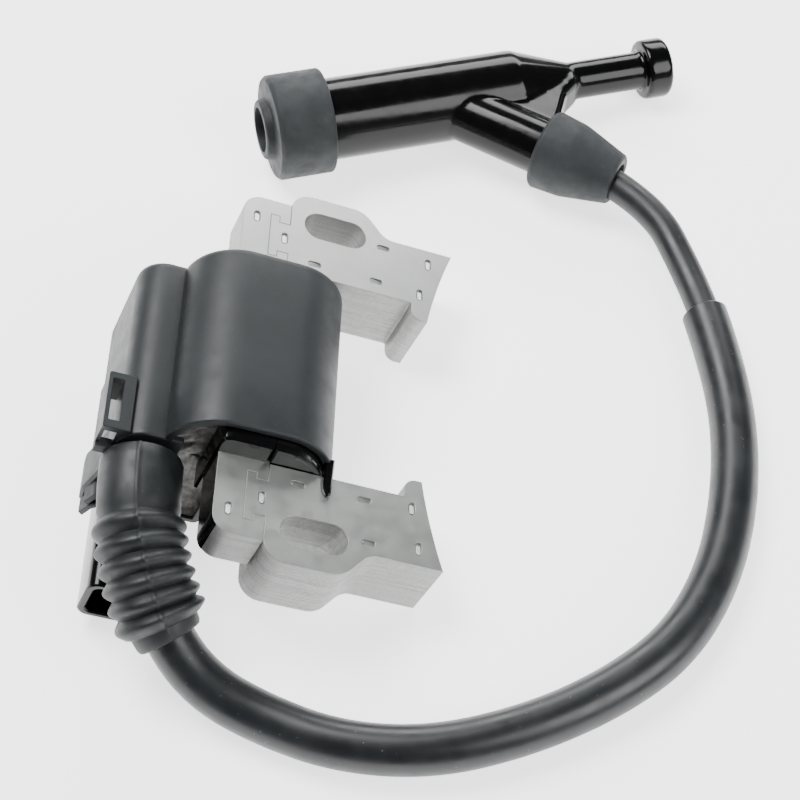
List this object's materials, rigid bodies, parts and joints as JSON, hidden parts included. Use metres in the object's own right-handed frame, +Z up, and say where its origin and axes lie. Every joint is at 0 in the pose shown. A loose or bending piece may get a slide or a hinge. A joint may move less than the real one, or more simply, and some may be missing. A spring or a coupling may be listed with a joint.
{
  "type": "ignition coil",
  "caption": "Small engine ignition coil on a laminated U core with slotted legs, a connector socket, a booted high tension lead and a spark plug cap.",
  "frame": {"origin": "centre of the coil unit's own box (without the lead, its sleeve, boot and the plug cap), on the level surface that everything lies on", "axes": "+Y runs along the core's crossbar, from the connector end to the plug cap's side; +X is level and points to the side the legs reach to; +Z is up, and the laminations lean 20.23 degrees from level about Y"},
  "size_m": [0.1415, 0.1925, 0.0381],
  "materials": {
    "laminations": "stacked steel sheets, satin face, rougher edges",
    "case_plastic": "moulded, fine matte grain",
    "bobbin_plastic": "glossy moulded",
    "copper_wire": "enamelled copper",
    "board": "green board",
    "device_black": "matte",
    "capacitor_can": "satin can",
    "tinned_metal": "tinned, bright",
    "brass_parts": "plain brass",
    "resin": "cast, uneven, slightly glossy",
    "cap_plastic": "glossy moulded",
    "seal_rubber": "dull rubber",
    "boot_rubber": "dull rubber with a fine seam",
    "lead_sheath": "satin sheath",
    "sleeve_plastic": "satin flexible tube",
    "ceramic": "glazed ceramic",
    "spring_steel": "bright drawn wire"
  },
  "bodies": {
    "coil": {"chip_resistors": "device_black", "circuit_board": "board", "coil_case": "case_plastic", "connector_terminals": "tinned_metal", "control_chip": "device_black", "core_bar": "laminations", "filter_capacitor": "capacitor_can", "ground_strap": "tinned_metal", "ht_lead": "lead_sheath", "ht_terminal": "brass_parts", "lead_boot": "boot_rubber", "lead_conductor": "copper_wire", "lead_sleeve": "sleeve_plastic", "lower_leg": "laminations", "potting_resin": "resin", "power_transistor": "device_black", "primary_bobbin": "bobbin_plastic", "primary_winding": "copper_wire", "secondary_bobbin": "bobbin_plastic", "secondary_winding": "copper_wire", "upper_leg": "laminations"},
    "cap": {"cap_body": "cap_plastic", "cap_ring_seal": "seal_rubber", "cap_lead_seal": "seal_rubber", "cap_terminal": "brass_parts", "cap_resistor": "ceramic", "cap_spring": "spring_steel", "cap_screw": "brass_parts"}
  },
  "joints": [
    {"name": "cap_swivel", "type": "hinge", "parent": "coil", "child": "cap", "pos_m": [0.07547, 0.06886, 0.00939], "axis": [0.8903, -0.4549, -0.0217], "range_deg": [-10, 10]}
  ]
}
